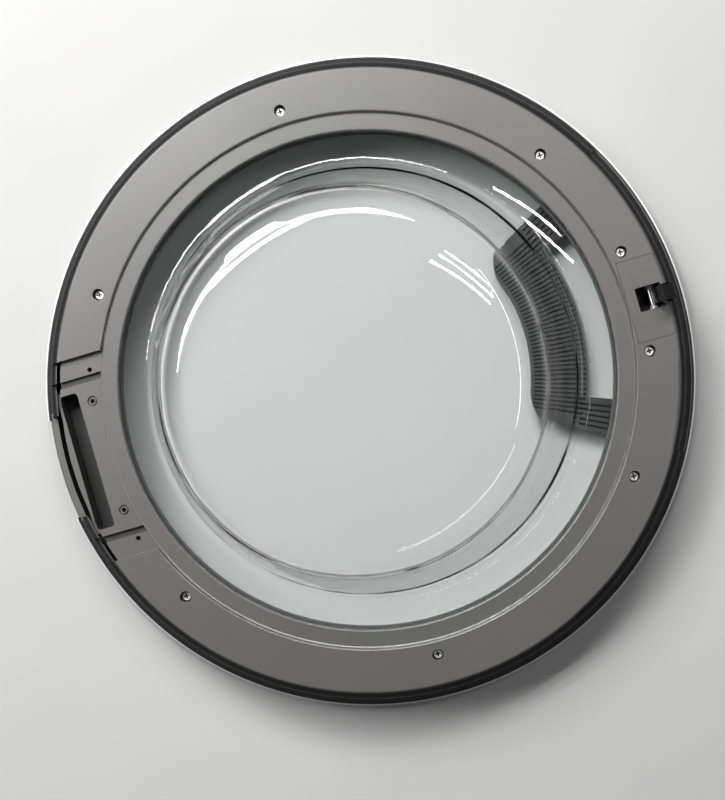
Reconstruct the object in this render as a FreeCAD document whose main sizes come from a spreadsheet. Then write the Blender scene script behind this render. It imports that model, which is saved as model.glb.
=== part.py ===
import FreeCAD, Part
import math
import os
import re
import Sketcher
from FreeCAD import Vector

# Door of a front-loading washing machine, lying on its front with the drum side up.
# X runs from the hinge to the latch, Z from the front face to the drum side, in millimetres.

SIZES = {
    # trim ring: a shallow channel that makes the front face and the rim
    "rim_radius": 238.0,
    "rim_height": 13.0,
    "rim_round": 10.0,
    "trim_wall": 2.0,
    "trim_lip_setback": 3.0,
    "trim_lip_height": 9.0,
    "trim_lip_round": 6.0,
    # front ring: the channel behind the trim that carries the glass and the screw bosses
    "ring_clearance": 0.35,
    "ring_wall": 3.0,
    "ring_base": 2.5,
    "ledge_thickness": 3.0,
    "ledge_setback": 1.5,
    "centring_rib": 2.0,
    "centring_height": 4.0,
    "boss_radius": 4.5,
    "thread_depth": 16.0,
    # glass bowl
    "flange_cover": 13.0,
    "flange_bottom": 27.0,
    "flange_thickness": 5.0,
    "neck_gap": 21.0,
    "wall_lean": 30.0,
    "crown_shift": 9.0,
    "wall_height": 76.0,
    "dome_height": 12.0,
    "glass_wall": 4.5,
    "crown_round": 28.0,
    "neck_round": 7.0,
    "mouth_round": 5.0,
    # glass seal
    "seal_thickness": 1.2,
    "seal_lip": 1.6,
    "seal_clearance": 0.5,
    # inner frame
    "face_width": 46.0,
    "frame_wall": 3.0,
    "flat_height": 46.0,
    "band_width": 12.0,
    "step_drop": 2.5,
    "step_run": 1.2,
    "side_run": 13.0,
    "flat_round": 5.0,
    "edge_round": 1.0,
    "foot_setback": 2.0,
    "side_wall": 3.3,
    "relief_depth": 1.4,
    # screws that hold the inner frame
    "screw_inset": 23.0,
    "latch_screw_margin": 6.8,
    "screw_angle_handle": 36.0,
    "screw_angle_side": 91.5,
    "screw_angle_hinge": 146.0,
    "screw_shank_radius": 2.0,
    "screw_head_radius": 3.5,
    "screw_head_height": 2.4,
    "screw_head_round": 0.9,
    "screw_length": 16.0,
    "drive_width": 1.1,
    "drive_length": 4.0,
    "drive_depth": 1.3,
    "cup_radius": 4.1,
    "cup_depth": 6.6,
    "cup_wall": 2.2,
    "cup_floor": 2.9,
    "hole_clearance": 0.3,
    "thread_clearance": 0.05,
    # hinge seat
    "seat_half_width": 73.7,
    "seat_drop": 4.0,
    "seat_floor": 4.0,
    "seat_slot": 2.5,
    "notch_half_width": 37.2,
    "notch_drop": 12.0,
    "guard_wall": 3.0,
    "guard_height": 18.0,
    "guard_gap": 7.4,
    "pocket_inset": 21.8,
    "pocket_width": 13.1,
    "pocket_half_length": 49.5,
    "pocket_depth": 17.0,
    "pocket_wall": 2.5,
    "pocket_corner": 2.5,
    "groove_offset": 57.0,
    "groove_width": 4.8,
    "groove_depth": 2.6,
    "hinge_boss_inset": 31.2,
    "hinge_boss_offset": 40.4,
    "hinge_boss_radius": 4.2,
    "hinge_boss_recess": 1.2,
    "hinge_boss_land": 3.7,
    "hinge_ring_radius": 2.5,
    "hinge_boss_length": 6.0,
    "hinge_hole_radius": 1.6,
    "hinge_hole_depth": 8.0,
    "dowel_inset": 35.5,
    "dowel_offset": 62.6,
    "dowel_radius": 1.7,
    # latch
    "cover_depth": 32.6,
    "cover_margin": 4.0,
    "cover_half_width": 29.3,
    "cover_clearance": 0.25,
    "cover_tab_reach": 5.7,
    "cover_tab_inset": 18.0,
    "cover_tab_length": 9.0,
    "cover_tab_thickness": 2.5,
    "slot_inset": 25.0,
    "slot_shoulder_inset": 7.0,
    "slot_overrun": 0.5,
    "slot_half_width": 8.5,
    "slot_narrow_half_width": 6.8,
    "slot_notch_depth": 9.0,
    "housing_wall": 3.3,
    "housing_end_wall": 3.0,
    "housing_half_cavity": 10.0,
    "housing_floor_height": 22.0,
    "housing_flange": 3.0,
    "housing_flange_width": 11.5,
    "housing_flange_end": 6.1,
    "pivot_inset": 11.5,
    "pivot_height": 31.0,
    "pin_radius": 1.5,
    "pin_play": 0.04,
    "hook_half_width": 5.4,
    "hook_boss_radius": 4.2,
    "hook_neck": 6.4,
    "hook_stop_gap": 0.35,
    "hook_nose": 6.8,
    "hook_catch_height": 9.0,
    "hook_rise": 18.5,
    "hook_tip_thickness": 2.2,
    "hook_round": 1.4,
    "wire_radius": 0.45,
    "coil_pitch": 0.95,
    "coil_turns": 3.0,
    "coil_gap": 0.5,
    "bridge_gap": 0.3,
    "bridge_rise": 8.0,
    "bridge_round": 1.5,
    "spring_foot_gap": 0.3,
    # pull handle
    "handle_half_angle": 29.0,
    "finger_half_angle": 20.5,
    "grip_width": 36.0,
    "finger_gap": 20.0,
    "grip_front": 4.0,
    "grip_back": 13.0,
    "grip_corner": 24.0,
    "grip_edge_round": 3.0,
    "leg_clearance": 0.35,
    "leg_overlap": 23.0,
    "rib_count": 39.0,
    "leg_rib_count": 5.0,
    "rib_margin": 4.0,
    "rib_gap": 1.5,
    "rib_height": 1.2,
    "rib_end_gap": 2.5,
    "handle_screw_inset": 6.5,
    "handle_screw_length": 7.0,
}

# places and sizes worked out from the sizes above; the ring's are all tied to its rim
DERIVED = {
    "trim_inner_radius": "frame_inner_radius + trim_lip_setback",
    "ledge_inner_radius": "frame_inner_radius + ledge_setback",
    "flange_radius": "frame_inner_radius + flange_cover",
    "neck_radius": "frame_inner_radius - neck_gap",
    "crown_radius": "neck_radius - wall_lean",
    "frame_inner_radius": "flat_radius - face_width",
    "step_radius": "frame_inner_radius + band_width",
    "flat_radius": "side_foot_radius - side_run",
    "side_foot_radius": "rim_radius - foot_setback",
    "screw_circle": "flat_radius - screw_inset",
    "pocket_inner_edge": "flat_radius - pocket_inset",
    "hinge_boss_reach": "flat_radius - hinge_boss_inset",
    "dowel_reach": "flat_radius - dowel_inset",
    "cover_inner_edge": "flat_radius - cover_depth",
    "cover_outer_radius": "flat_radius - cover_margin",
    "cover_tab_start": "flat_radius - cover_tab_inset",
    "slot_inner_edge": "flat_radius - slot_inset",
    "slot_shoulder": "flat_radius - slot_shoulder_inset",
    "slot_end": "flat_radius + slot_overrun",
    "pivot_reach": "flat_radius - pivot_inset",
    "grip_inner_radius": "grip_outer_radius - grip_width",
    "grip_outer_radius": "frame_inner_radius - finger_gap",
    "leg_reach": "frame_inner_radius + leg_overlap",
    "handle_screw_circle": "leg_reach - handle_screw_inset",
    "latch_screw_up": "cover_half_width + latch_screw_margin",
    "latch_screw_across": "sqrt(screw_circle ^ 2 - latch_screw_up ^ 2)",
    "ring_top": "rim_height + ring_clearance",
    "base_top": "trim_wall + ring_base",
    "ring_inner": "trim_inner_radius + trim_wall + ring_clearance",
    "ring_outer": "rim_radius - trim_wall - ring_clearance",
    "flange_top": "flange_bottom + flange_thickness",
    "crown_height": "flange_bottom + flange_thickness + wall_height",
    "rib_inner": "flange_radius + ring_clearance",
    "frame_foot": "flange_bottom + flange_thickness + seal_thickness",
    "band_height": "flat_height - step_drop",
    "flat_under": "flat_height - frame_wall",
    "side_slope": "(side_foot_radius - flat_radius) / (flat_height - ring_top)",
    "head_seat": "flat_height - cup_depth",
    "cup_bottom": "flat_height - cup_depth - cup_floor",
    "seat_height": "flat_height - seat_drop",
    "seat_wall_radius": "flat_radius + side_slope * seat_drop - side_wall",
    "seat_radius": "seat_wall_radius - seat_slot",
    "pocket_outer_edge": "pocket_inner_edge + pocket_width",
    "cover_under": "flat_height - frame_wall - cover_tab_thickness",
    "housing_stop": "pivot_reach + hook_boss_radius + hook_stop_gap",
    "housing_floor": "housing_floor_height + housing_end_wall",
    "housing_half_width": "housing_half_cavity + housing_wall",
    "neck_outer": "pivot_reach + hook_boss_radius",
    "neck_inner": "pivot_reach + hook_boss_radius - hook_neck",
    "coil_radius": "hook_neck - hook_boss_radius + bridge_gap + wire_radius",
    "coil_start": "hook_half_width + coil_gap",
    "leg_front": "trim_lip_height + leg_clearance",
    "leg_angle": "(handle_half_angle + finger_half_angle) / 2",
    "rib_half_angle": "handle_half_angle - rib_margin",
    "rib_pitch": "2 * rib_half_angle / (rib_count - 1)",
    "leg_rib_half_angle": "rib_pitch * (leg_rib_count - 1) / 2",
}

SCREW_ANGLES = ["screw_angle_handle", "screw_angle_side", "screw_angle_hinge"]

doc = FreeCAD.newDocument("washer_door")
sheet = doc.addObject("Spreadsheet::Sheet", "Sizes")
for row, (alias, size) in enumerate(SIZES.items(), start=1):
    sheet.set(f"A{row}", alias.replace("_", " "))
    sheet.set(f"B{row}", str(size))
    sheet.setAlias(f"B{row}", alias)
doc.recompute()


def bound(text):
    """The expression with every size in it read from the sheet."""
    def spelt(word):
        if word in DERIVED:
            return f"({bound(DERIVED[word])})"
        return f"Sizes.{word}" if word in SIZES else word

    return re.sub(r"[a-z_]+", lambda found: spelt(found[0]), text)


def value(text):
    """The expression worked out with the sheet's present sizes."""
    found = sheet.evalExpression(bound(text))
    return float(getattr(found, "Value", found))


def new_body(label):
    body = doc.addObject("PartDesign::Body", label)
    body.Label = label
    return body


def new_sketch(body, name, plane, offset=None, axis_offset=None):
    """A sketch on one of the body's own planes, raised by offset or with its origin moved by axis_offset."""
    sketch = body.newObject("Sketcher::SketchObject", f"{body.Label}_{name}")
    roles = {feature.Role: feature for feature in body.Origin.OriginFeatures}
    sketch.AttachmentSupport = (roles[plane], [""])
    sketch.MapMode = "FlatFace"
    if offset:
        sketch.setExpression("AttachmentOffset.Base.z", bound(offset))
    for axis, distance in (axis_offset or {}).items():
        sketch.setExpression(f"AttachmentOffset.Base.{axis}", bound(distance))
    return sketch


def fix(sketch, kind, parts, text):
    """A dimension of the sketch bound to an expression of sizes."""
    index = sketch.addConstraint(Sketcher.Constraint(kind, *parts, value(text)))
    sketch.setExpression(f"Constraints[{index}]", bound(text))


def place(sketch, geometry, point, across, up):
    fix(sketch, "DistanceX", (-1, 1, geometry, point), across)
    fix(sketch, "DistanceY", (-1, 1, geometry, point), up)


def meet(sketch, kind, first, first_end, second, second_end):
    sketch.addConstraint(Sketcher.Constraint(kind, first, first_end, second, second_end))


def outline(sketch, points):
    """A closed outline through points (across, up), or (across, up, radius) where a corner is rounded."""
    corners = [Vector(value(point[0]), value(point[1]), 0) for point in points]
    radii = [value(point[2]) if len(point) > 2 else 0.0 for point in points]
    count = len(points)
    arrive, leave, arcs = [], [], []
    for here in range(count):
        back = (corners[here - 1] - corners[here]).normalize()
        ahead = (corners[(here + 1) % count] - corners[here]).normalize()
        half = back.getAngle(ahead) / 2
        trim = radii[here] / math.tan(half)
        arrive.append(corners[here] + back * trim)
        leave.append(corners[here] + ahead * trim)
        inward = (back + ahead).normalize()
        arcs.append(corners[here] + inward * (radii[here] / math.sin(half) - radii[here]))
    sides = [sketch.addGeometry(Part.LineSegment(leave[here], arrive[(here + 1) % count]), False)
             for here in range(count)]
    for here in range(count):
        before, after = sides[here - 1], sides[here]
        if not radii[here]:
            meet(sketch, "Coincident", before, 2, after, 1)
            place(sketch, after, 1, points[here][0], points[here][1])
            continue
        arc = sketch.addGeometry(Part.Arc(arrive[here], arcs[here], leave[here]), False)
        first = 1 if sketch.getPoint(arc, 1).distanceToPoint(arrive[here]) < 1e-6 else 2
        meet(sketch, "Tangent", before, 2, arc, first)
        meet(sketch, "Tangent", arc, 3 - first, after, 1)
        fix(sketch, "Radius", (arc,), points[here][2])
        corner = sketch.addGeometry(Part.Point(corners[here]), True)
        sketch.addConstraint(Sketcher.Constraint("PointOnObject", corner, 1, before))
        sketch.addConstraint(Sketcher.Constraint("PointOnObject", corner, 1, after))
        place(sketch, corner, 1, points[here][0], points[here][1])


def rectangle(sketch, left, right, low, high, *radius):
    outline(sketch, [(left, low, *radius), (right, low, *radius),
                     (right, high, *radius), (left, high, *radius)])


def circle(sketch, across, up, radius):
    centre = Vector(value(across), value(up), 0)
    ring = sketch.addGeometry(Part.Circle(centre, Vector(0, 0, 1), value(radius)), False)
    place(sketch, ring, 3, across, up)
    fix(sketch, "Radius", (ring,), radius)


def centred_arc(sketch, radius, half_width, side):
    """An arc about the door's axis on the latch side (1) or the hinge side (-1), symmetrical about X."""
    reach, half = value(radius), value(half_width)
    end = Vector(side * math.sqrt(reach ** 2 - half ** 2), half, 0)
    start = Vector(end.x, -half, 0)
    arc = sketch.addGeometry(Part.Arc(start, Vector(side * reach, 0, 0), end), False)
    meet(sketch, "Coincident", arc, 3, -1, 1)
    fix(sketch, "Radius", (arc,), radius)
    low = 1 if sketch.getPoint(arc, 1).y < 0 else 2
    fix(sketch, "DistanceY", (-1, 1, arc, low), f"-({half_width})")
    fix(sketch, "DistanceY", (-1, 1, arc, 3 - low), half_width)
    return arc, low, start, end


def arc_band(sketch, inner, outer, inner_half, outer_half, side):
    """The stretch between two arcs about the door's axis, closed by straight ends."""
    near, near_low, near_start, near_end = centred_arc(sketch, inner, inner_half, side)
    far, far_low, far_start, far_end = centred_arc(sketch, outer, outer_half, side)
    low = sketch.addGeometry(Part.LineSegment(near_start, far_start), False)
    high = sketch.addGeometry(Part.LineSegment(far_end, near_end), False)
    meet(sketch, "Coincident", low, 1, near, near_low)
    meet(sketch, "Coincident", low, 2, far, far_low)
    meet(sketch, "Coincident", high, 1, far, 3 - far_low)
    meet(sketch, "Coincident", high, 2, near, 3 - near_low)


def sector(sketch, inner, outer, half_angle, side=1):
    arc_band(sketch, inner, outer, f"{inner} * sin({half_angle})", f"{outer} * sin({half_angle})", side)


def chord_plate(sketch, inner_edge, outer_radius, half_width):
    """A plate with a straight inner edge, parallel sides and an outer edge that follows the ring."""
    arc, low, start, end = centred_arc(sketch, outer_radius, half_width, 1)
    inner = value(inner_edge)
    lower = sketch.addGeometry(Part.LineSegment(Vector(inner, start.y, 0), start), False)
    upper = sketch.addGeometry(Part.LineSegment(end, Vector(inner, end.y, 0)), False)
    chord = sketch.addGeometry(Part.LineSegment(Vector(inner, end.y, 0), Vector(inner, start.y, 0)), False)
    meet(sketch, "Coincident", lower, 2, arc, low)
    meet(sketch, "Coincident", upper, 1, arc, 3 - low)
    meet(sketch, "Coincident", upper, 2, chord, 1)
    meet(sketch, "Coincident", chord, 2, lower, 1)
    place(sketch, lower, 1, inner_edge, f"-({half_width})")
    place(sketch, upper, 2, inner_edge, half_width)


def feature(body, kind, sketch, **settings):
    made = body.newObject(f"PartDesign::{kind}", f"{sketch.Name}_{kind.lower()}")
    made.Profile = sketch
    for name, setting in settings.items():
        if isinstance(setting, str):
            made.setExpression(name, bound(setting))
        else:
            setattr(made, name, setting)
    return made


def add(body, sketch, length, **settings):
    made = feature(body, "Pad", sketch, Length=length, **settings)
    doc.recompute()
    return made


def cut(body, sketch, length, **settings):
    """A pocket below the sketch, which has to take something away."""
    before = body.Shape.Volume
    made = feature(body, "Pocket", sketch, Length=length, **settings)
    doc.recompute()
    if not body.Shape.Volume < before - 1e-3:
        raise RuntimeError(f"{made.Name} takes nothing away")
    return made


def turn(body, sketch, kind="Revolution", **settings):
    """A revolution, or a groove, about the sketch's upright axis."""
    settings.setdefault("Angle", 360.0)
    before = body.Shape.Volume if kind == "Groove" else 0.0
    made = feature(body, kind, sketch, ReferenceAxis=(sketch, ["V_Axis"]), **settings)
    doc.recompute()
    if kind == "Groove" and not body.Shape.Volume < before - 1e-3:
        raise RuntimeError(f"{made.Name} takes nothing away")
    return made


def round_edges(body, wanted, radius):
    """Rounds the edges of the body so far for which wanted(edge) holds."""
    base = body.Tip
    names = [f"Edge{place}" for place, edge in enumerate(base.Shape.Edges, start=1) if wanted(edge)]
    if not names:
        raise RuntimeError(f"{body.Label} has no edge to round")
    made = body.newObject("PartDesign::Fillet", f"{base.Name}_fillet")
    made.Base = (base, names)
    made.setExpression("Radius", bound(radius))
    doc.recompute()
    return made


def level(edge, height):
    """Whether the edge lies flat at the height."""
    box = edge.BoundBox
    return abs(box.ZMin - height) < 1e-3 and abs(box.ZMax - height) < 1e-3


def screw_places(angles, circle_radius):
    """The centres (across, up) of screws in mirrored pairs at the given angles."""
    return [(f"{circle_radius} * cos({angle})", f"{sign} * {circle_radius} * sin({angle})")
            for angle in angles for sign in (1, -1)]


def circles(sketch, places, radius):
    for across, up in places:
        circle(sketch, across, up, radius)


LATCH_SCREWS = [("latch_screw_across", f"{sign} * latch_screw_up") for sign in (1, -1)]
RING_SCREWS = screw_places(SCREW_ANGLES, "screw_circle")
FRAME_SCREWS = LATCH_SCREWS + RING_SCREWS
HANDLE_SCREWS = screw_places(["leg_angle"], "handle_screw_circle")
HINGE_BOSSES = [("-hinge_boss_reach", f"{sign} * hinge_boss_offset") for sign in (1, -1)]
HINGE_DOWELS = [("-dowel_reach", f"{sign} * dowel_offset") for sign in (1, -1)]


def make_trim_ring():
    """Decorative channel: the flat front face, the rounded inner lip and the rim."""
    body = new_body("trim_ring")
    profile = new_sketch(body, "section", "XZ_Plane")
    inside = "trim_inner_radius + trim_wall"
    outside = "rim_radius - trim_wall"
    outline(profile, [
        ("trim_inner_radius", "trim_lip_height"),
        ("trim_inner_radius", "0", "trim_lip_round"),
        ("rim_radius", "0", "rim_round"),
        ("rim_radius", "rim_height"),
        (outside, "rim_height"),
        (outside, "trim_wall", "rim_round - trim_wall"),
        (inside, "trim_wall", "trim_lip_round - trim_wall"),
        (inside, "trim_lip_height")])
    turn(body, profile)
    notch = new_sketch(body, "hinge_notch", "XY_Plane", offset="rim_height + trim_wall")
    arc_band(notch, "ring_outer - ring_wall", "rim_radius + trim_wall",
             "notch_half_width", "notch_half_width", -1)
    cut(body, notch, "rim_height")
    return body


def make_front_ring():
    """Structural channel with the glass ledge, the centring rib and the screw bosses."""
    body = new_body("front_ring")
    profile = new_sketch(body, "section", "XZ_Plane")
    ledge_under = "flange_bottom - ledge_thickness"
    rib_outer = "rib_inner + centring_rib"
    rib_top = "flange_bottom + centring_height"
    outline(profile, [
        ("ring_inner", "trim_wall", "trim_lip_round - trim_wall"),
        ("ring_outer", "trim_wall", "rim_round - trim_wall"),
        ("ring_outer", "ring_top"),
        ("ring_outer - ring_wall", "ring_top"),
        ("ring_outer - ring_wall", "base_top", "rim_round - trim_wall - ring_base"),
        ("ring_inner + ring_wall", "base_top", "edge_round"),
        ("ring_inner + ring_wall", ledge_under),
        (rib_outer, ledge_under),
        (rib_outer, rib_top),
        ("rib_inner", rib_top),
        ("rib_inner", "flange_bottom"),
        ("ledge_inner_radius", "flange_bottom"),
        ("ledge_inner_radius", ledge_under),
        ("ring_inner", ledge_under)])
    turn(body, profile)
    root = "trim_wall + ring_base / 2"
    tops = [("tall", RING_SCREWS, "cup_bottom"),
            ("latch", LATCH_SCREWS, "cup_bottom - housing_flange"),
            ("handle", HANDLE_SCREWS, "leg_front")]
    for name, places, top in tops:
        bosses = new_sketch(body, f"{name}_bosses", "XY_Plane", offset=root)
        circles(bosses, places, "boss_radius")
        add(body, bosses, f"{top} - ({root})")
        holes = new_sketch(body, f"{name}_holes", "XY_Plane", offset=top)
        circles(holes, places, "screw_shank_radius + thread_clearance")
        cut(body, holes, "thread_depth" if name != "handle" else "leg_front - (base_top)")
    for sign in (1, -1):
        window = new_sketch(body, f"leg_window_{'left' if sign > 0 else 'right'}", "XY_Plane",
                            offset="grip_back + leg_clearance")
        leg_window(window, sign)
        cut(body, window, "grip_back + 2 * leg_clearance - leg_front")
    return body


def leg_corners(sign, inner, outer, spread):
    """The plan of one handle leg: radial sides, moved out by spread, between two radii."""
    corners = []
    for radius, angle, shift in ((inner, "finger_half_angle", -1), (outer, "finger_half_angle", -1),
                                 (outer, "handle_half_angle", 1), (inner, "handle_half_angle", 1)):
        corners.append((f"{radius} * cos({angle}) - {shift} * {spread} * sin({angle})",
                        f"{sign} * ({radius} * sin({angle}) + {shift} * {spread} * cos({angle}))"))
    return corners


def leg_window(sketch, sign):
    outline(sketch, leg_corners(sign, "(ring_inner - ring_wall)", "(ring_inner + 2 * ring_wall)",
                                "leg_clearance"))


def make_glass_bowl():
    """Pressed bowl: an oblique cone that leans towards the hinge, a shallow dome and a flat flange."""
    body = new_body("glass_bowl")
    foot = new_sketch(body, "foot", "XY_Plane", offset="flange_bottom")
    slope = "(neck_radius - crown_radius) / wall_height"
    lean = "crown_shift / wall_height"
    circle(foot, f"{lean} * flange_thickness", "0", f"neck_radius + {slope} * flange_thickness")
    crown = new_sketch(body, "crown", "XY_Plane", offset="crown_height")
    circle(crown, "-crown_shift", "0", "crown_radius")
    feature(body, "AdditiveLoft", foot, Sections=[crown], Ruled=True)
    doc.recompute()
    dome = new_sketch(body, "dome", "XZ_Plane", axis_offset={"x": "-crown_shift", "y": "crown_height"})
    dome_cap(dome, "crown_radius", "dome_height")
    turn(body, dome)
    crown_level = value("crown_height")
    round_edges(body, lambda edge: level(edge, crown_level), "crown_round")
    base = body.Tip
    floor = value("flange_bottom")
    open_face = [f"Face{place}" for place, face in enumerate(base.Shape.Faces, start=1)
                 if abs(face.BoundBox.ZMax - floor) < 1e-3]
    shell = body.newObject("PartDesign::Thickness", "glass_bowl_shell")
    shell.Base = (base, open_face)
    shell.setExpression("Value", bound("glass_wall"))
    shell.Reversed = True
    doc.recompute()
    flange = new_sketch(body, "flange", "XY_Plane", offset="flange_bottom")
    circle(flange, "0", "0", "flange_radius")
    circle(flange, f"{lean} * flange_thickness / 2", "0", "neck_radius - glass_wall / 2")
    add(body, flange, "flange_thickness")
    top = value("flange_top")
    neck = value("neck_radius")
    round_edges(body, lambda edge: level(edge, top) and edge.BoundBox.XMax < neck + 1, "neck_round")
    round_edges(body, lambda edge: level(edge, floor) and edge.BoundBox.XMax < neck, "mouth_round")
    return body


def dome_cap(sketch, radius, height):
    """Half of a shallow cap: up the axis, along an arc to the rim, and back along its flat base."""
    rim, rise = value(radius), value(height)
    sphere = (rim ** 2 + rise ** 2) / (2 * rise)
    middle = math.atan2(rim, sphere - rise) / 2
    halfway = Vector(sphere * math.sin(middle), sphere * math.cos(middle) - sphere + rise, 0)
    base = sketch.addGeometry(Part.LineSegment(Vector(0, 0, 0), Vector(rim, 0, 0)), False)
    arc = sketch.addGeometry(Part.Arc(Vector(rim, 0, 0), halfway, Vector(0, rise, 0)), False)
    axis = sketch.addGeometry(Part.LineSegment(Vector(0, rise, 0), Vector(0, 0, 0)), False)
    rim_end = 1 if sketch.getPoint(arc, 1).x > rim / 2 else 2
    meet(sketch, "Coincident", base, 1, -1, 1)
    meet(sketch, "Coincident", base, 2, arc, rim_end)
    meet(sketch, "Coincident", arc, 3 - rim_end, axis, 1)
    meet(sketch, "Coincident", axis, 2, base, 1)
    sketch.addConstraint(Sketcher.Constraint("Horizontal", base))
    sketch.addConstraint(Sketcher.Constraint("Vertical", axis))
    sketch.addConstraint(Sketcher.Constraint("PointOnObject", arc, 3, -2))
    fix(sketch, "DistanceX", (-1, 1, base, 2), radius)
    fix(sketch, "DistanceY", (-1, 1, axis, 1), height)


def make_glass_seal():
    body = new_body("glass_seal")
    section = new_sketch(body, "section", "XZ_Plane")
    rectangle(section, "frame_inner_radius - seal_lip", "flange_radius - seal_clearance",
              "flange_top", "frame_foot")
    turn(body, section)
    return body


def make_inner_frame():
    """Moulded shell: a low band round the glass, the flat with its screw cups, and a steep side."""
    body = new_body("inner_frame")
    section = new_sketch(body, "section", "XZ_Plane")
    outline(section, [
        ("frame_inner_radius", "frame_foot"),
        ("frame_inner_radius", "band_height", "edge_round"),
        ("step_radius", "band_height", "edge_round"),
        ("step_radius + step_run", "flat_height", "edge_round"),
        ("flat_radius", "flat_height", "flat_round"),
        ("side_foot_radius", "ring_top"),
        ("side_foot_radius - side_wall", "ring_top"),
        ("flat_radius + side_slope * frame_wall - side_wall", "flat_under"),
        ("step_radius + frame_wall", "flat_under"),
        ("step_radius + frame_wall - step_run", "band_height - frame_wall"),
        ("frame_inner_radius + frame_wall", "band_height - frame_wall"),
        ("frame_inner_radius + frame_wall", "frame_foot")])
    turn(body, section)
    add_handle_relief(body)
    add_screw_cups(body)
    add_hinge_seat(body)
    add_latch_opening(body)
    return body


def add_handle_relief(body):
    """Along the handle the steep side stands back from the rim."""
    relief = new_sketch(body, "handle_relief", "XZ_Plane")
    inward = "flat_radius - relief_depth"
    outside = "side_foot_radius + trim_wall"
    above = "flat_height + trim_wall"
    outline(relief, [
        (f"{inward} - 2 * flat_round", "flat_height"),
        (inward, "flat_height", "flat_round"),
        ("side_foot_radius - relief_depth", "ring_top"),
        (outside, "ring_top"),
        (outside, above),
        (f"{inward} - 2 * flat_round", above)])
    turn(body, relief, kind="Groove", Angle="2 * handle_half_angle", Midplane=True)


def add_screw_cups(body):
    cups = new_sketch(body, "cups", "XY_Plane", offset="cup_bottom")
    circles(cups, FRAME_SCREWS, "cup_radius + cup_wall")
    add(body, cups, "flat_under + frame_wall / 2 - cup_bottom")
    bores = new_sketch(body, "cup_bores", "XY_Plane", offset="flat_height")
    circles(bores, FRAME_SCREWS, "cup_radius")
    cut(body, bores, "cup_depth")
    holes = new_sketch(body, "cup_holes", "XY_Plane", offset="head_seat")
    circles(holes, FRAME_SCREWS, "screw_shank_radius + hole_clearance")
    cut(body, holes, "cup_floor")


def add_hinge_seat(body):
    """Lowered floor for the hinge: deep pocket, grooves, screw bosses, dowel holes and edge notch."""
    floor = new_sketch(body, "seat_floor", "XY_Plane", offset="seat_height - seat_floor")
    wide = "seat_half_width + frame_wall"
    arc_band(floor, "step_radius - 2 * frame_wall", "seat_radius", wide, wide, -1)
    add(body, floor, "(flat_under + band_height) / 2 - (seat_height - seat_floor)")
    recess = new_sketch(body, "seat_recess", "XY_Plane", offset="flat_height + trim_wall")
    arc_band(recess, "step_radius", "rim_radius", "seat_half_width", "seat_half_width", -1)
    cut(body, recess, "seat_drop + trim_wall")

    lip = new_sketch(body, "notch_lip", "XY_Plane", offset="seat_height")
    arc_band(lip, "seat_wall_radius - seat_slot / 2", "rim_radius",
             "notch_half_width", "notch_half_width", -1)
    cut(body, lip, "notch_drop - seat_drop")
    guard_outer = "(side_foot_radius - guard_gap)"
    side = new_sketch(body, "notch_side", "XY_Plane", offset="seat_height")
    arc_band(side, guard_outer, "rim_radius", "notch_half_width", "notch_half_width", -1)
    cut(body, side, "flat_height")
    guard = new_sketch(body, "notch_guard", "XY_Plane", offset="flat_height - notch_drop - guard_height")
    guard_half = "notch_half_width + side_wall"
    arc_band(guard, f"{guard_outer} - guard_wall", guard_outer, guard_half, guard_half, -1)
    add(body, guard, "guard_height")

    pocket_floor = "seat_height - pocket_depth"
    tub = new_sketch(body, "pocket_tub", "XY_Plane", offset=f"{pocket_floor} - pocket_wall")
    rectangle(tub, "-(pocket_outer_edge + pocket_wall)", "-(pocket_inner_edge - pocket_wall)",
              "-(pocket_half_length + pocket_wall)", "pocket_half_length + pocket_wall")
    add(body, tub, f"seat_height - seat_floor / 2 - ({pocket_floor} - pocket_wall)")
    pocket = new_sketch(body, "pocket", "XY_Plane", offset="seat_height")
    rectangle(pocket, "-pocket_outer_edge", "-pocket_inner_edge",
              "-pocket_half_length", "pocket_half_length", "pocket_corner")
    cut(body, pocket, "pocket_depth")

    grooves = new_sketch(body, "grooves", "XY_Plane", offset="seat_height")
    near, far = "(groove_offset - groove_width / 2)", "(groove_offset + groove_width / 2)"
    inner_end = f"-sqrt(step_radius ^ 2 - {far} ^ 2)"
    for low, high in ((near, far), (f"-{far}", f"-{near}")):
        rectangle(grooves, "-seat_radius", inner_end, low, high)
    cut(body, grooves, "groove_depth")

    under = "seat_height - seat_floor"
    bosses = new_sketch(body, "hinge_bosses", "XY_Plane", offset=f"{under} - hinge_boss_length")
    circles(bosses, HINGE_BOSSES, "hinge_boss_radius")
    add(body, bosses, "hinge_boss_length + seat_floor / 2")
    lands = new_sketch(body, "hinge_lands", "XY_Plane", offset="seat_height")
    circles(lands, HINGE_BOSSES, "hinge_boss_land")
    circles(lands, HINGE_BOSSES, "hinge_ring_radius")
    cut(body, lands, "hinge_boss_recess")
    holes = new_sketch(body, "hinge_holes", "XY_Plane", offset="seat_height")
    circles(holes, HINGE_BOSSES, "hinge_hole_radius")
    cut(body, holes, "hinge_hole_depth")
    dowels = new_sketch(body, "dowel_holes", "XY_Plane", offset="seat_height")
    circles(dowels, HINGE_DOWELS, "dowel_radius")
    cut(body, dowels, "seat_floor + 2 * frame_wall")


def add_latch_opening(body):
    opening = new_sketch(body, "latch_opening", "XY_Plane", offset="flat_height")
    chord_plate(opening, "cover_inner_edge", "cover_outer_radius", "cover_half_width")
    cut(body, opening, "frame_wall")
    notch = new_sketch(body, "latch_notch", "XY_Plane", offset="flat_height")
    rectangle(notch, "slot_shoulder", "slot_end", "-slot_narrow_half_width", "slot_narrow_half_width")
    cut(body, notch, "slot_notch_depth")


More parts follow.
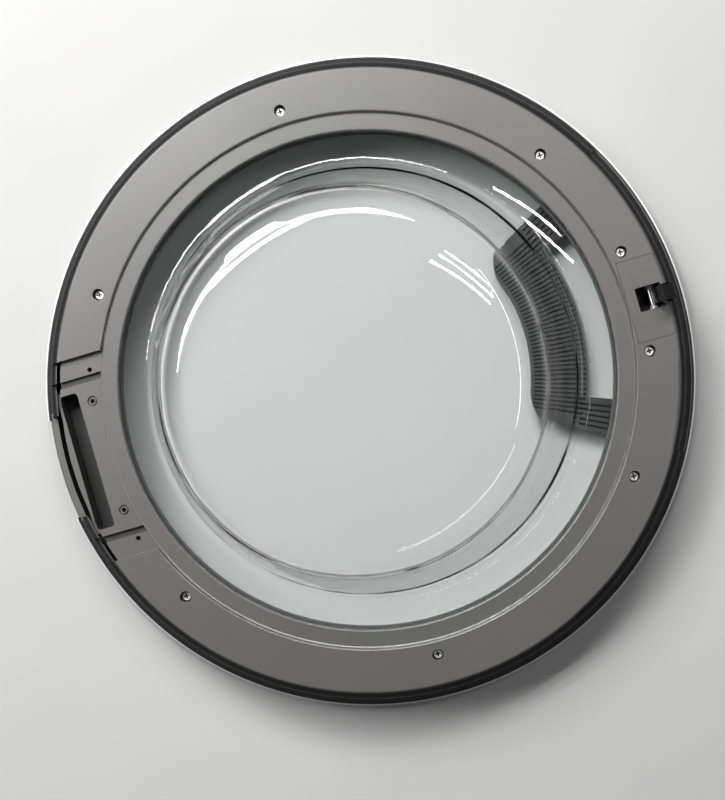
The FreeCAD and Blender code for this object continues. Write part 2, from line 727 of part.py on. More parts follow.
def make_latch_cover():
    """Insert plate flush with the flat, with tabs that hook under it and the slot for the hook."""
    body = new_body("latch_cover")
    plate = new_sketch(body, "plate", "XY_Plane", offset="flat_under")
    chord_plate(plate, "cover_inner_edge + cover_clearance", "cover_outer_radius - cover_clearance",
                "cover_half_width - cover_clearance")
    add(body, plate, "frame_wall")
    tabs = new_sketch(body, "tabs", "XY_Plane", offset="cover_under")
    reach = "cover_half_width + cover_tab_reach"
    rectangle(tabs, "cover_tab_start", "cover_tab_start + cover_tab_length", f"-({reach})", reach)
    add(body, tabs, "cover_tab_thickness")
    slot = new_sketch(body, "slot", "XY_Plane", offset="flat_height")
    outline(slot, [
        ("slot_inner_edge", "-slot_half_width", "edge_round"),
        ("slot_shoulder", "-slot_half_width"),
        ("slot_shoulder", "-slot_narrow_half_width"),
        ("slot_end", "-slot_narrow_half_width"),
        ("slot_end", "slot_narrow_half_width"),
        ("slot_shoulder", "slot_narrow_half_width"),
        ("slot_shoulder", "slot_half_width"),
        ("slot_inner_edge", "slot_half_width", "edge_round")])
    cut(body, slot, "frame_wall + cover_tab_thickness")
    return body


def make_latch_housing():
    """Box under the cover that carries the hook's pin, held by the two screws beside the latch."""
    body = new_body("latch_housing")
    box = new_sketch(body, "box", "XY_Plane", offset="housing_floor_height")
    inner = "slot_inner_edge"
    outer = "housing_stop"
    rectangle(box, f"{inner} - housing_end_wall", f"{outer} + housing_end_wall",
              "-housing_half_width", "housing_half_width")
    add(body, box, "cover_under - housing_floor_height")
    flange = new_sketch(body, "flange", "XY_Plane", offset="cup_bottom - housing_flange")
    centre = "latch_screw_across"
    reach = "latch_screw_up + housing_flange_end"
    rectangle(flange, f"{centre} - housing_flange_width / 2", f"{centre} + housing_flange_width / 2",
              f"-({reach})", reach)
    add(body, flange, "housing_flange")
    cavity = new_sketch(body, "cavity", "XY_Plane", offset="cover_under")
    rectangle(cavity, inner, outer, "-housing_half_cavity", "housing_half_cavity")
    cut(body, cavity, "cover_under - housing_floor")
    holes = new_sketch(body, "screw_holes", "XY_Plane", offset="cup_bottom")
    circles(holes, LATCH_SCREWS, "screw_shank_radius + hole_clearance")
    cut(body, holes, "housing_flange")
    bore = new_sketch(body, "pin_bore", "XZ_Plane")
    circle(bore, "pivot_reach", "pivot_height", "pin_radius + pin_play")
    cut(body, bore, "2 * housing_half_width", Midplane=True)
    return body


def make_hook_pin():
    body = new_body("hook_pin")
    section = new_sketch(body, "section", "XZ_Plane")
    circle(section, "pivot_reach", "pivot_height", "pin_radius")
    add(body, section, "2 * housing_half_width", Midplane=True)
    return body


def make_latch_hook():
    """Moulded hook: a round hub on the pin, a straight neck and a nose that points to the rim."""
    body = new_body("latch_hook")
    side = new_sketch(body, "side", "XZ_Plane")
    catch = "flat_height + hook_catch_height"
    tip = "neck_outer + hook_nose"
    outline(side, [
        ("neck_inner", "pivot_height"),
        ("neck_outer", "pivot_height"),
        ("neck_outer", catch, "hook_round"),
        (tip, catch, "hook_round / 2"),
        (tip, f"{catch} + hook_tip_thickness", "hook_round / 2"),
        ("neck_inner + hook_neck / 2", "flat_height + hook_rise", "hook_round"),
        ("neck_inner", "flat_height + hook_rise - hook_neck / 4", "hook_round")])
    add(body, side, "2 * hook_half_width", Midplane=True)
    hub = new_sketch(body, "hub", "XZ_Plane")
    circle(hub, "pivot_reach", "pivot_height", "hook_boss_radius")
    add(body, hub, "2 * hook_half_width", Midplane=True)
    bore = new_sketch(body, "bore", "XZ_Plane")
    circle(bore, "pivot_reach", "pivot_height", "pin_radius + pin_play")
    cut(body, bore, "2 * hook_half_width", Midplane=True)
    return body


def make_hook_spring():
    """Double torsion spring: a coil on each side of the hook, joined by a bridge behind its neck."""
    body = new_body("hook_spring")
    coil_length = "coil_turns * coil_pitch"
    path = new_sketch(body, "bridge_path", "YZ_Plane", offset="pivot_reach - coil_radius")
    top = value("pivot_height + bridge_rise")
    bend = value("bridge_round")
    half = value("coil_start + wire_radius")
    foot = value("pivot_height")
    runs = [(Vector(-half, foot, 0), Vector(-half, top - bend, 0)),
            (Vector(bend - half, top, 0), Vector(half - bend, top, 0)),
            (Vector(half, top - bend, 0), Vector(half, foot, 0))]
    lines = [sketch_line(path, *run) for run in runs]
    for first, second, sign in ((lines[0], lines[1], -1), (lines[1], lines[2], 1)):
        centre = Vector(sign * (half - bend), top - bend, 0)
        middle = centre + Vector(sign * bend, bend, 0) * math.sqrt(0.5)
        start, end = path.getPoint(first, 2), path.getPoint(second, 1)
        arc = path.addGeometry(Part.Arc(start, middle, end), False)
        near = 1 if path.getPoint(arc, 1).distanceToPoint(start) < 1e-6 else 2
        meet(path, "Tangent", first, 2, arc, near)
        meet(path, "Tangent", arc, 3 - near, second, 1)
        fix(path, "Radius", (arc,), "bridge_round")
    place(path, lines[0], 1, "-(coil_start + wire_radius)", "pivot_height")
    place(path, lines[2], 2, "coil_start + wire_radius", "pivot_height")
    path.addConstraint(Sketcher.Constraint("Vertical", lines[0]))
    path.addConstraint(Sketcher.Constraint("Horizontal", lines[1]))
    path.addConstraint(Sketcher.Constraint("Vertical", lines[2]))
    fix(path, "DistanceY", (-1, 1, lines[1], 1), "pivot_height + bridge_rise")
    wire = new_sketch(body, "bridge_wire", "XY_Plane", offset="pivot_height")
    circle(wire, "pivot_reach - coil_radius", "-(coil_start + wire_radius)", "wire_radius")
    feature(body, "AdditivePipe", wire, Spine=path)
    doc.recompute()
    for sign in (1, -1):
        side = "left" if sign > 0 else "right"
        section = new_sketch(body, f"coil_{side}", "XY_Plane",
                             axis_offset={"x": "pivot_reach", "z": "pivot_height"})
        circle(section, "-coil_radius", f"{sign} * (coil_start + wire_radius)", "wire_radius")
        feature(body, "AdditiveHelix", section, ReferenceAxis=(section, ["V_Axis"]), Mode=0,
                Pitch="coil_pitch", Height=coil_length, Reversed=sign < 0, LeftHanded=sign > 0)
        doc.recompute()
        leg = new_sketch(body, f"leg_{side}", "XY_Plane", offset="pivot_height")
        circle(leg, "pivot_reach - coil_radius",
               f"{sign} * (coil_start + wire_radius + {coil_length})", "wire_radius")
        add(body, leg, "pivot_height - housing_floor - spring_foot_gap", Reversed=True)
    return body


def sketch_line(sketch, start, end):
    return sketch.addGeometry(Part.LineSegment(start, end), False)


def make_pull_handle():
    """Bow handle in front of the bowl: a grip with a ribbed back and two legs into the front ring."""
    body = new_body("pull_handle")
    plan = new_sketch(body, "plan", "XY_Plane", offset="grip_front")
    sector(plan, "grip_inner_radius", "grip_outer_radius", "handle_half_angle")
    add(body, plan, "grip_back - grip_front")
    inner = value("grip_inner_radius")

    def inner_corner(edge):
        box = edge.BoundBox
        return box.ZLength > 1 and box.XLength < 1e-3 and math.hypot(box.XMin, box.YMin) < inner + 1e-3

    round_edges(body, inner_corner, "grip_corner")
    for sign in (1, -1):
        leg = new_sketch(body, f"leg_{'left' if sign > 0 else 'right'}", "XY_Plane", offset="leg_front")
        outline(leg, leg_corners(sign, "(grip_outer_radius - grip_corner / 2)", "leg_reach", "0"))
        add(body, leg, "grip_back - leg_front")
    front = value("grip_front")
    round_edges(body, lambda edge: level(edge, front), "grip_edge_round")
    holes = new_sketch(body, "screw_holes", "XY_Plane", offset="grip_back")
    circles(holes, HANDLE_SCREWS, "screw_shank_radius + hole_clearance")
    cut(body, holes, "grip_back - leg_front")

    rib_end = "grip_outer_radius - rib_end_gap"
    cut_ribs(body, "grip", "grip_inner_radius + rib_end_gap", rib_end,
             "-(rib_half_angle)", "2 * rib_half_angle", "rib_count")
    for side, middle in (("left", "rib_half_angle"), ("right", "-(rib_half_angle)")):
        cut_ribs(body, f"leg_{side}", f"{rib_end} - rib_gap", "frame_inner_radius",
                 f"{middle} - leg_rib_half_angle", "2 * leg_rib_half_angle", "leg_rib_count")
    return body


def cut_ribs(body, name, inner, outer, start, spread, count):
    """Grooves across the handle's back from the start angle on, which leave ribs between them."""
    groove = new_sketch(body, f"{name}_groove", "XY_Plane", offset="grip_back")
    groove.setExpression("AttachmentOffset.Rotation.Angle", bound(start))
    rectangle(groove, inner, outer, "-rib_gap / 2", "rib_gap / 2")
    first = cut(body, groove, "rib_height")
    pattern = body.newObject("PartDesign::PolarPattern", f"{body.Label}_{name}_ribs")
    pattern.Originals = [first]
    roles = {origin.Role: origin for origin in body.Origin.OriginFeatures}
    pattern.Axis = (roles["Z_Axis"], [""])
    pattern.setExpression("Angle", bound(spread))
    pattern.setExpression("Occurrences", bound(count))
    body.Tip = pattern
    doc.recompute()


def make_screws(label, places, seat, length):
    """Pan-head screws with a cross drive, each a solid of its own."""
    body = new_body(label)
    body.AllowCompound = True
    shanks = new_sketch(body, "shanks", "XY_Plane", offset=seat)
    circles(shanks, places, "screw_shank_radius")
    add(body, shanks, length, Reversed=True)
    heads = new_sketch(body, "heads", "XY_Plane", offset=seat)
    circles(heads, places, "screw_head_radius")
    add(body, heads, "screw_head_height")
    crown = value(f"{seat} + screw_head_height")
    round_edges(body, lambda edge: level(edge, crown), "screw_head_round")
    drives = new_sketch(body, "drives", "XY_Plane", offset=f"{seat} + screw_head_height")
    half_long, half_wide = "drive_length / 2", "drive_width / 2"
    for across, up in places:
        cross_drive(drives, across, up, half_long, half_wide)
    cut(body, drives, "drive_depth")
    return body


def cross_drive(sketch, across, up, half_long, half_wide):
    corners = []
    for turn_x, turn_y in ((1, 1), (-1, 1), (-1, -1), (1, -1)):
        near = (f"{across} + {turn_x} * {half_wide}", f"{up} + {turn_y} * {half_wide}")
        long_x = (f"{across} + {turn_x} * {half_long}", near[1])
        long_y = (near[0], f"{up} + {turn_y} * {half_long}")
        corners += [long_x, near, long_y] if turn_x == turn_y else [long_y, near, long_x]
    outline(sketch, corners)


def frame_screws():
    return make_screws("frame_screws", FRAME_SCREWS, "head_seat", "screw_length")


def handle_screws():
    return make_screws("handle_screws", HANDLE_SCREWS, "grip_back", "handle_screw_length")


sub_parts = [make() for make in (
    make_trim_ring, make_front_ring, make_glass_bowl, make_glass_seal, make_inner_frame, make_latch_cover,
    make_latch_housing, make_latch_hook, make_hook_pin, make_hook_spring, make_pull_handle, frame_screws,
    handle_screws)]
doc.recompute()

for thing in doc.Objects:
    if {"Invalid", "Error"} & set(thing.State):
        raise RuntimeError(f"{thing.Name} failed: {thing.State}")
for sub_part in sub_parts:
    if sub_part.Shape.isNull() or not sub_part.Shape.isValid():
        raise RuntimeError(f"{sub_part.Label} has no valid shape")

os.makedirs("parts", exist_ok=True)
for sub_part in sub_parts:
    sub_part.Shape.exportStep(f"parts/{sub_part.Label}.step")
    box = sub_part.Shape.optimalBoundingBox()
    print(sub_part.Label, len(sub_part.Shape.Solids), round(sub_part.Shape.Volume / 1000, 2), "cm3",
          [round(side, 2) for side in (box.XMin, box.XMax, box.YMin, box.YMax, box.ZMin, box.ZMax)])
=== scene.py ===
import math
import bmesh
import bpy
from mathutils import Matrix, Vector


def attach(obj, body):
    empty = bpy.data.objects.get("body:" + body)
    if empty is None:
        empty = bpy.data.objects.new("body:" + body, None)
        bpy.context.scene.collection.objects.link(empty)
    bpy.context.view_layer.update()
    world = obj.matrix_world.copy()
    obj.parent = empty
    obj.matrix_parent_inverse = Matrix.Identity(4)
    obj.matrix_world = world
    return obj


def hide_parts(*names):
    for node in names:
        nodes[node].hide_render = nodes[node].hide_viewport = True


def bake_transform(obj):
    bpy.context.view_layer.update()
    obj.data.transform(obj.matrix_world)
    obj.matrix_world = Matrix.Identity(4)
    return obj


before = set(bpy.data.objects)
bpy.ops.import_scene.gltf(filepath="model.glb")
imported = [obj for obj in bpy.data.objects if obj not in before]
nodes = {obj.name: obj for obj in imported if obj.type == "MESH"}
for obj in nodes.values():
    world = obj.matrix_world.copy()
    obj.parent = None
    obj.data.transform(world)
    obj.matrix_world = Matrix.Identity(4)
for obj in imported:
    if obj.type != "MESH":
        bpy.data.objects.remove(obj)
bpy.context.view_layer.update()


# Trim ring.
# The decorative front of the door: one shallow moulded channel in silver-grey lacquered plastic.
# It clips over the carrier ring, and only its rim and inner lip show from the drum side.

class Field:
    """One value of a finish as it varies over the surface."""

    def __init__(self, finish, socket):
        self.finish = finish
        self.socket = socket

    def maths(self, operation, *values):
        return self.finish.add("ShaderNodeMath", {"operation": operation}, dict(enumerate(values)))

    def __add__(self, other):
        return self.maths("ADD", self, other)

    def __radd__(self, other):
        return self.maths("ADD", other, self)

    def __sub__(self, other):
        return self.maths("SUBTRACT", self, other)

    def __rsub__(self, other):
        return self.maths("SUBTRACT", other, self)

    def __mul__(self, other):
        return self.maths("MULTIPLY", self, other)

    def __rmul__(self, other):
        return self.maths("MULTIPLY", other, self)


class Finish:
    """A procedural material: constants on the shader, and fields that feed it."""

    def __init__(self, name, **constants):
        self.material = bpy.data.materials.new(name)
        self.material.use_nodes = True
        self.tree = self.material.node_tree
        self.shader = self.tree.nodes["Principled BSDF"]
        self.place = None
        for socket, value in constants.items():
            self.shader.inputs[socket.replace("_", " ")].default_value = value

    def add(self, kind, settings, sockets, output=0):
        """A node of that kind, its settings first, then the values or fields of its sockets."""
        node = self.tree.nodes.new(kind)
        for name, setting in settings.items():
            setattr(node, name, setting)
        for name, value in sockets.items():
            if isinstance(value, Field):
                self.tree.links.new(value.socket, node.inputs[name])
            else:
                node.inputs[name].default_value = value
        return Field(self, node.outputs[output])

    def coordinates(self):
        if self.place is None:
            self.place = self.add("ShaderNodeTexCoord", {}, {}, "Object")
        return self.place

    def axis(self, letter):
        return self.add("ShaderNodeSeparateXYZ", {}, {0: self.coordinates()}, letter)

    def radius(self):
        """Distance from the door's axis, in metres."""
        flat = self.add("ShaderNodeVectorMath", {"operation": "MULTIPLY"},
                        {0: self.coordinates(), 1: (1.0, 1.0, 0.0)})
        return self.add("ShaderNodeVectorMath", {"operation": "LENGTH"}, {0: flat}, "Value")

    def grain(self, scale, detail=2.0, roughness=0.5, stretch=(1.0, 1.0, 1.0)):
        """Soft random variation from 0 to 1, scale spots to the metre."""
        where = self.coordinates()
        if stretch != (1.0, 1.0, 1.0):
            where = self.add("ShaderNodeMapping", {}, {"Vector": where, "Scale": stretch})
        return self.add("ShaderNodeTexNoise", {},
                        {"Vector": where, "Scale": scale, "Detail": detail, "Roughness": roughness})

    def step(self, value, start, end):
        """0 below start and 1 above end, smooth between."""
        return self.add("ShaderNodeMapRange", {"interpolation_type": "SMOOTHSTEP"},
                        {"Value": value, "From Min": start, "From Max": end})

    def band(self, value, start, full, fade, end):
        """1 between full and fade, and 0 below start and above end."""
        return self.step(value, start, full) * (1.0 - self.step(value, fade, end))

    def specks(self, scale, size):
        """Sparse round specks, 1 at their centres."""
        spots = self.add("ShaderNodeTexVoronoi", {}, {"Vector": self.coordinates(), "Scale": scale})
        return 1.0 - self.step(spots, 0.0, size)

    def blend(self, share, low, high):
        """A colour between low and high by the share."""
        return self.add("ShaderNodeMix", {"data_type": "RGBA"}, {"Factor": share, 6: low, 7: high}, 2)

    def feed(self, socket, field):
        self.tree.links.new(field.socket, self.shader.inputs[socket])

    def relief(self, height, depth):
        """Bump of the surface by the field times depth, in metres."""
        self.feed("Normal", self.add("ShaderNodeBump", {}, {"Height": height, "Distance": depth}))


def shade(grey, warm=0.0):
    """A grey, with its red raised and its blue lowered by the share warm."""
    return (grey * (1.0 + warm), grey, grey * (1.0 - warm), 1.0)


def dress(node, finish):
    """The finish on a piece of the frame model."""
    nodes[node].data.materials.clear()
    nodes[node].data.materials.append(finish.material)


INNER_DARK_TOP = (0.006, 0.008)
INNER_DARK_EDGE = (0.2366, 0.2374)
silver_lacquer = Finish("silver_lacquer", Metallic=0.5, Coat_Weight=0.25, Coat_Roughness=0.12)
cloud = silver_lacquer.grain(9.0, 3.0)
flake = silver_lacquer.grain(2600.0, 1.0)
silver = silver_lacquer.blend(cloud * 0.5 + flake * 0.5, shade(0.42), shade(0.54))
# Above the front face and inside the outer edge the ring is near-black.
above = silver_lacquer.step(silver_lacquer.axis("Z"), *INNER_DARK_TOP)
inner_dark = above * (1.0 - silver_lacquer.step(silver_lacquer.radius(), *INNER_DARK_EDGE))
silver_lacquer.feed("Base Color", silver_lacquer.blend(inner_dark, silver, shade(0.012)))
silver_lacquer.feed("Roughness", 0.24 + silver_lacquer.grain(60.0, 4.0) * 0.16)
silver_lacquer.relief(flake, 0.00002)
dress("trim_ring", silver_lacquer)


# Carrier ring.
# The structural ring behind the trim, moulded in dark glass-filled plastic with a ledge for the glass.
# The screws of the inner frame and of the handle bite into its bosses.

carrier_plastic = Finish("carrier_plastic")
fibre = carrier_plastic.grain(700.0, 3.0, 0.6, (1.0, 1.0, 4.0))
cloud = carrier_plastic.grain(25.0, 3.0)
carrier_plastic.feed("Base Color", carrier_plastic.blend(cloud, shade(0.022), shade(0.036)))
carrier_plastic.feed("Roughness", 0.48 + fibre * 0.2)
carrier_plastic.relief(fibre, 0.00006)
dress("front_ring", carrier_plastic)


# Pull handle.
# A black moulded bow across the latch side of the opening, ribbed on its back for the fingertips.
# Its two legs pass through windows in the carrier ring and are screwed down there.

RIB_GROOVES = (0.0106, 0.0114, 0.0121, 0.0128)
handle_plastic = Finish("handle_plastic", Specular_IOR_Level=0.05, Coat_Roughness=0.34)
pebble = handle_plastic.grain(1900.0, 2.0)
rub = handle_plastic.step(handle_plastic.grain(38.0, 4.0), 0.52, 0.72)
groove = handle_plastic.band(handle_plastic.axis("Z"), *RIB_GROOVES)
worn = handle_plastic.blend(rub, shade(0.013), shade(0.022))
# Painted shade: the rib grooves are painted near-black and carry no coat sheen.
handle_plastic.feed("Base Color", handle_plastic.blend(groove, worn, shade(0.001)))
handle_plastic.feed("Roughness", 0.42 + groove * 0.2 - rub * 0.12 + pebble * 0.08)
handle_plastic.feed("Coat Weight", (1.0 - groove) * (0.6 + rub * 0.3))
handle_plastic.relief(pebble, 0.00004)
dress("pull_handle", handle_plastic)


# Screws and pivot pin.
# Bright zinc-plated steel: pan-head screws driven into the carrier's bosses, and a plain pin in the latch.
# The heads carry fine turning marks; the frame screws' heads are painted near-black below their crowns, as
# painted shade in their recesses and round their edges.

bright_steel = Finish("bright_steel", Metallic=1.0)
plating = bright_steel.grain(900.0, 3.0)
grime = bright_steel.grain(180.0, 3.0)
bright_steel.feed("Base Color", bright_steel.blend(grime, shade(0.55, 0.02), shade(0.82, 0.01)))
bright_steel.feed("Roughness", 0.16 + plating * 0.2)
bright_steel.relief(plating, 0.00001)
for piece in ("handle_screws", "hook_pin"):
    dress(piece, bright_steel)

HEAD_CROWN = (0.04155, 0.04176)
screw_zinc = Finish("screw_zinc", Metallic=0.85)
plating = screw_zinc.grain(1200.0, 3.0)
crown = screw_zinc.step(screw_zinc.axis("Z"), *HEAD_CROWN)
zinc = screw_zinc.blend(plating, shade(0.5, 0.02), shade(0.8, 0.01))
# Painted shade: below its crown the head is painted near-black.
screw_zinc.feed("Base Color", screw_zinc.blend(crown, shade(0.02), zinc))
screw_zinc.feed("Roughness", 0.3 + plating * 0.2)
screw_zinc.relief(plating, 0.00001)
dress("frame_screws", screw_zinc)


# Glass bowl.
# One piece of clear pressed glass: a flat flange, a leaning conical wall, a round shoulder and a low dome.
# It lies on the carrier's ledge and is clamped there by the inner frame.

def dome_line(shape, top, sphere, reach, steps):
    """Half a dome's section from its crown outwards; gives its last point."""
    crown = shape.verts.new((0.0, 0.0, top))
    swung = bmesh.ops.spin(shape, geom=[crown], cent=(0.0, 0.0, top - sphere), axis=(0.0, 1.0, 0.0),
                           angle=math.asin(reach / sphere), steps=steps)
    return next(part for part in swung["geom_last"] if isinstance(part, bmesh.types.BMVert))


def rounded_path(shape, corners, start=None, end=None):
    """A line through corners (radius, height, rounding), from start and to end where they are given.
    Lengths are in metres, and a rounding has a segment for each 2 mm of its radius, 3 at least."""
    path = [shape.verts.new((radius, 0.0, height)) for radius, height, _ in corners]
    line = [vert for vert in (start, *path, end) if vert]
    for pair in zip(line, line[1:]):
        shape.edges.new(pair)
    trims = {}
    for vert, (_, _, rounding) in zip(path, corners):
        if rounding:
            ahead, back = (edge.other_vert(vert).co - vert.co for edge in vert.link_edges)
            segments = max(3, round(rounding / 0.002))
            trims[vert] = (rounding / math.tan(ahead.angle(back) / 2), segments)
    for vert, (trim, segments) in trims.items():
        bmesh.ops.bevel(shape, geom=[vert], offset=trim, offset_type="OFFSET", affect="VERTICES",
                        segments=segments, profile=0.5, material=-1)


def turned(shape):
    """The path turned all round the door's axis into a closed skin."""
    bmesh.ops.spin(shape, geom=shape.verts[:] + shape.edges[:], cent=(0.0, 0.0, 0.0), axis=(0.0, 0.0, 1.0),
                   angle=math.tau, steps=160, use_merge=True)
    bmesh.ops.remove_doubles(shape, verts=shape.verts[:], dist=0.00001)
    bmesh.ops.recalc_face_normals(shape, faces=shape.faces[:])


def finished(name, shape, finish):
    """The shape as a smooth piece of the scene, with its finish."""
    mesh = bpy.data.meshes.new(name)
    for face in shape.faces:
        face.smooth = True
    shape.to_mesh(mesh)
    shape.free()
    piece = bpy.data.objects.new(name, mesh)
    bpy.context.scene.collection.objects.link(piece)
    mesh.materials.append(finish.material)
    return piece


WALL = 0.0045
SPHERE = 0.6675
CROWN = 0.120
DOME_REACH = 0.102
DOME_STEPS = 17
NECK = 0.032
FLANGE_FOOT = 0.027
FLANGE_RADIUS = 0.190
LEAN_SLOPE = -9.0 / 76.0
WALL_RIPPLES = (0.034, 0.046, 0.084, 0.108)

bowl = bmesh.new()
shoulder = dome_line(bowl, CROWN, SPHERE, DOME_REACH, DOME_STEPS)
hollow = dome_line(bowl, CROWN - WALL, SPHERE - WALL, DOME_REACH, DOME_STEPS)
outside = [(0.126, 0.108, 0.028), (0.156, NECK, 0.007), (FLANGE_RADIUS, NECK, 0.001)]
inside = [(FLANGE_RADIUS, FLANGE_FOOT, 0.001), (0.1531, FLANGE_FOOT, 0.005), (0.12273, 0.10404, 0.0235)]
rounded_path(bowl, outside + inside, shoulder, hollow)
turned(bowl)
lean = Matrix.Translation((0.0, 0.0, NECK)) @ Matrix.Shear("XY", 4, (LEAN_SLOPE, 0.0))
lean @= Matrix.Translation((0.0, 0.0, -NECK))
bmesh.ops.transform(bowl, verts=[vert for vert in bowl.verts if vert.co.z > NECK + 0.0001], matrix=lean)

clear_glass = Finish("clear_glass", Base_Color=(0.975, 0.988, 0.984, 1.0), Transmission_Weight=1.0, IOR=1.5,
                     Roughness=0.0)
wall = clear_glass.band(clear_glass.axis("Z"), *WALL_RIPPLES)
ripple = clear_glass.grain(30.0, 1.0, 0.4, (1.0, 1.0, 0.4))
sway = clear_glass.grain(11.0, 1.0)
clear_glass.relief(wall * ripple + sway * 0.35, 0.0012)
# Lamps and soft light pass straight through the glass, so what lies under it isn't left in shadow.
lamp_rays = clear_glass.add("ShaderNodeLightPath", {}, {}, "Is Shadow Ray")
soft_rays = clear_glass.add("ShaderNodeLightPath", {}, {}, "Is Diffuse Ray")
through = clear_glass.add("ShaderNodeBsdfTransparent", {}, {"Color": (0.93, 0.945, 0.94, 1.0)})
surface = Field(clear_glass, clear_glass.shader.outputs[0])
clear = lamp_rays.maths("MAXIMUM", lamp_rays, soft_rays)
lit = clear_glass.add("ShaderNodeMixShader", {}, {0: clear, 1: surface, 2: through})
clear_glass.tree.links.new(lit.socket, clear_glass.tree.nodes["Material Output"].inputs["Surface"])
glass = finished("pressed_glass", bowl, clear_glass)
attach(glass, "door")
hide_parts("glass_bowl")


# Glass seal.
# A thin black rubber ring with a soft rounded lip, pressed flat between the flange and the inner frame.
# Only the lip shows, as a dark line round the glass.

SEAL_OUTSIDE = 0.1895
SEAL_INSIDE = 0.1754
SEAL_TOP = 0.0332
LIP_ROUND = 0.0005
seal_rubber = Finish("seal_rubber")
bloom = seal_rubber.grain(120.0, 4.0)
seal_rubber.feed("Base Color", seal_rubber.blend(bloom, shade(0.010), shade(0.020)))
seal_rubber.feed("Roughness", 0.6 + bloom * 0.25)
seal_rubber.relief(seal_rubber.grain(1400.0, 2.0), 0.00003)
lip = bmesh.new()
rounded_path(lip, [(SEAL_OUTSIDE, NECK, 0.0), (SEAL_INSIDE, NECK, LIP_ROUND),
                   (SEAL_INSIDE, SEAL_TOP, LIP_ROUND), (SEAL_OUTSIDE, SEAL_TOP, 0.0)])
bmesh.ops.contextual_create(lip, geom=[vert for vert in lip.verts if vert.co.x > SEAL_OUTSIDE - 0.0001])
turned(lip)
seal = finished("glass_seal_lip", lip, seal_rubber)
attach(seal, "door")
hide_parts("glass_seal")


# Inner frame and latch cover.
# The grey moulded ring on the drum side: satin texture on its face, a smoother side painted dark as painted
# shade, recessed screws.
# The cover is a separate insert of the same plastic, flush with the face, round the slot for the hook.

FACE_HEIGHT = 0.046
SIDE_SLOPE = 0.398
SIDE_EDGE = (0.2192, 0.2212)
SUNK_FLOORS = (0.0385, 0.0418)
NOTCH_FLOOR = (0.0334, 0.0339, 0.0341, 0.0346)


def grey_plastic(name, grey):
    """Satin grey plastic: dusty on the face, with painted shade in what is sunk below it and on the sloping
    side.
    """
    finish = Finish(name, Specular_IOR_Level=0.1, Coat_Roughness=0.4)
    height = finish.axis("Z")
    notch = finish.band(height, *NOTCH_FLOOR)
    side = finish.step(finish.radius() - SIDE_SLOPE * (FACE_HEIGHT - height), *SIDE_EDGE) * (1.0 - notch)
    sunk = (1.0 - finish.step(height, *SUNK_FLOORS)) * (1.0 - notch)
    cloud = finish.grain(14.0, 4.0)
    texture = finish.grain(1500.0, 2.0, 0.6)
    rub = finish.step(finish.grain(22.0, 6.0, 0.65, (1.0, 2.2, 1.0)), 0.55, 0.75)
    dust = finish.specks(190.0, 0.055) * finish.step(finish.grain(30.0, 2.0), 0.5, 0.62)
    spread = cloud * 0.55 + texture * 0.25 + rub * 0.2
    face = finish.blend(spread, shade(grey * 0.88, 0.025), shade(grey * 1.12, 0.03))
    dusty = finish.blend(dust * 0.4, face, shade(0.42, 0.03))
    # Painted shade: what is sunk below the face's floors is darkened towards near-black and loses most of its
    # coat sheen.
    sunk_shade = finish.blend(sunk * 0.75, dusty, shade(0.01))
    # Painted shade: the sloping side is painted near-black.
    finish.feed("Base Color", finish.blend(side, sunk_shade, shade(0.006)))
    finish.feed("Roughness", 0.42 + texture * 0.1 - rub * 0.05 + side * 0.3)
    finish.feed("Coat Weight", (1.0 - side) * (1.0 - sunk * 0.8) * (0.8 + cloud * 0.2))
    finish.relief(texture, 0.00007)
    return finish


frame_plastic = grey_plastic("frame_plastic", 0.046)
dress("inner_frame", frame_plastic)
cover_plastic = grey_plastic("cover_plastic", 0.0445)
dress("latch_cover", cover_plastic)


# Latch.
# A black housing under the cover, and the moulded hook that swings on its pin inside it.
# The hook is smooth, self-lubricating plastic with a slight polish where the lock rubs it.

housing_plastic = Finish("housing_plastic")
matt = housing_plastic.grain(1300.0, 2.0)
housing_plastic.feed("Base Color", housing_plastic.blend(matt, shade(0.010), shade(0.018)))
housing_plastic.feed("Roughness", 0.5 + matt * 0.2)
housing_plastic.relief(matt, 0.00005)
dress("latch_housing", housing_plastic)

NOSE_RUB = (0.050, 0.058)
hook_plastic = Finish("hook_plastic")
polish = hook_plastic.step(hook_plastic.axis("Z"), *NOSE_RUB)
swirl = hook_plastic.grain(240.0, 3.0)
hook_plastic.feed("Base Color", hook_plastic.blend(swirl, shade(0.002), shade(0.005)))
hook_plastic.feed("Roughness", 0.2 - polish * 0.06 + hook_plastic.grain(400.0, 3.0) * 0.08)
hook_plastic.relief(hook_plastic.grain(1500.0, 1.0), 0.00002)
dress("latch_hook", hook_plastic)


# Hook spring.
# A double torsion spring of bright drawn wire: two coils on the pin, with their ends on the housing's floor.
# Its straight bridge lies behind the hook.

drawn_wire = Finish("drawn_wire", Metallic=0.3)
streak = drawn_wire.grain(700.0, 3.0, 0.6, (1.0, 0.15, 1.0))
drawn_wire.feed("Base Color", drawn_wire.blend(streak, shade(0.72, 0.01), shade(0.9)))
drawn_wire.feed("Roughness", 0.28 + streak * 0.16)
drawn_wire.relief(streak, 0.00002)
wire = bmesh.new()
wire.from_mesh(nodes["hook_spring"].data)
bmesh.ops.remove_doubles(wire, verts=wire.verts[:], dist=0.000001)
spring = finished("bent_spring", wire, drawn_wire)
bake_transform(spring)
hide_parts("hook_spring")


# Studio.
# A plain pale floor that fades into the grey air far off, and the camera above the door.
# Long ceiling tubes and a window at the upper left light it, with short tubes and weak strips at the right.

TILT = math.radians(16.25)
RIGHT = Vector((math.cos(TILT), -math.sin(TILT), 0.0))
UP = Vector((math.sin(TILT), math.cos(TILT), 0.0))
AIR = (0.16, 0.16, 0.164, 1.0)
FADE_OUT = (0.9, 3.0)
FLOOR_REACH = 40.0
FLOOR_DROP = 0.0003
LAMP_AIM = Vector((0.0, 0.0, 0.03))
SENSOR = 36.0
FOCAL_PIXELS = 1206.0
PICTURE_HEIGHT = 800.0


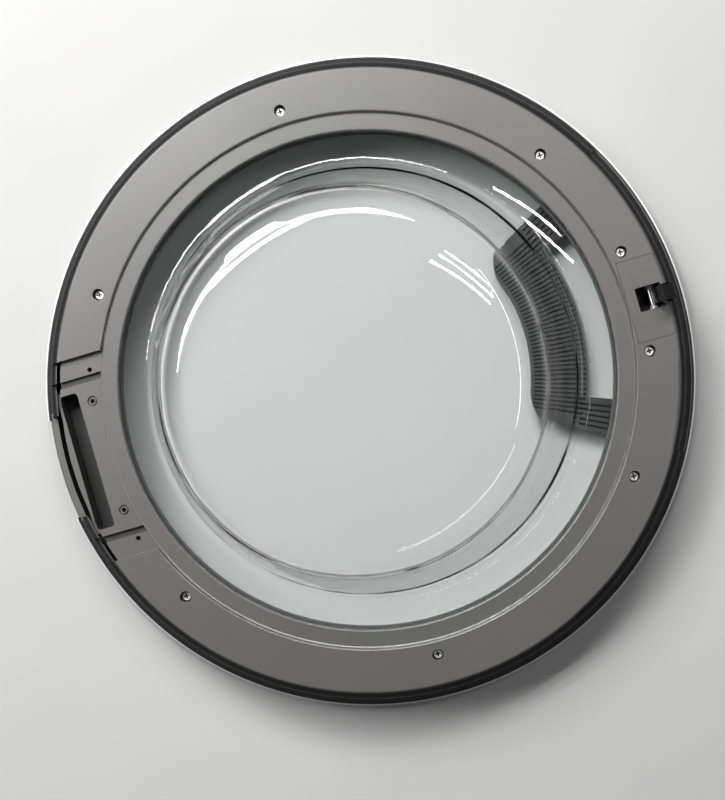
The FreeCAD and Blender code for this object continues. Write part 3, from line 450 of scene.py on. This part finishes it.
def studio_light(name, right, up, height, width, length, power, turn=0.0):
    """A soft rectangular light over the point (right, up) of the picture, aimed at the door."""
    lamp = bpy.data.lights.new(name, "AREA")
    lamp.shape = "RECTANGLE"
    lamp.size = width
    lamp.size_y = length
    lamp.energy = power
    light = bpy.data.objects.new(name, lamp)
    bpy.context.scene.collection.objects.link(light)
    light.location = RIGHT * right + UP * up + Vector((0.0, 0.0, height))
    aim = (LAMP_AIM - light.location).to_track_quat("-Z", "Y").to_matrix()
    light.rotation_euler = (aim @ Matrix.Rotation(turn, 3, "Z")).to_euler()


floor_finish = Finish("pale_floor", Roughness=0.6, Specular_IOR_Level=0.0, Emission_Strength=1.0)
pale = floor_finish.blend(floor_finish.grain(5.0, 4.0), shade(0.24, 0.006), shade(0.27, 0.006))
far = floor_finish.step(floor_finish.radius(), *FADE_OUT)
floor_finish.feed("Base Color", floor_finish.blend(far, pale, shade(0.0)))
floor_finish.feed("Emission Color", floor_finish.blend(far, shade(0.0), AIR))
ground = bmesh.new()
bmesh.ops.create_grid(ground, x_segments=1, y_segments=1, size=FLOOR_REACH,
                      matrix=Matrix.Translation((0.0, 0.0, -FLOOR_DROP)))
floor_mesh = bpy.data.meshes.new("floor")
ground.to_mesh(floor_mesh)
ground.free()
floor = bpy.data.objects.new("floor", floor_mesh)
floor_mesh.materials.append(floor_finish.material)
bpy.context.scene.collection.objects.link(floor)

for name, right, up in (("near_tube", -0.50, 0.75), ("middle_tube", -0.59, 0.88), ("far_tube", -0.69, 1.04)):
    studio_light(name, right, up, 1.45, 2.3, 0.03, 28.0)
for name, right, up in (("inner_short_tube", 0.46, 0.50), ("short_tube", 0.51, 0.55),
                        ("outer_short_tube", 0.56, 0.60)):
    studio_light(name, right, up, 1.5, 0.36, 0.012, 1.3, 0.25)
studio_light("right_strip", 0.75, 0.2, 1.2, 0.9, 0.04, 1.3)
studio_light("low_strip", 0.6, -0.7, 0.9, 1.0, 0.03, 0.9)
studio_light("window", -0.82, 1.09, 1.15, 0.5, 0.5, 40.0)

world = bpy.data.worlds.new("studio_air")
bpy.context.scene.world = world
world.use_nodes = True
world.node_tree.nodes["Background"].inputs["Color"].default_value = AIR

lens = bpy.data.cameras.new("camera")
lens.sensor_width = SENSOR
lens.lens = SENSOR * FOCAL_PIXELS / PICTURE_HEIGHT
camera = bpy.data.objects.new("camera", lens)
bpy.context.scene.collection.objects.link(camera)
camera.location = RIGHT * 0.030 - UP * 0.012 + Vector((0.0, 0.0, 0.8955))
target = RIGHT * -0.0023 - UP * 0.0140 + Vector((0.0, 0.0, FACE_HEIGHT))
back = (camera.location - target).normalized()
across = UP.cross(back).normalized()
camera.rotation_euler = Matrix((across, back.cross(across), back)).transposed().to_euler()
bpy.context.scene.camera = camera
bpy.context.scene.view_settings.view_transform = "Standard"
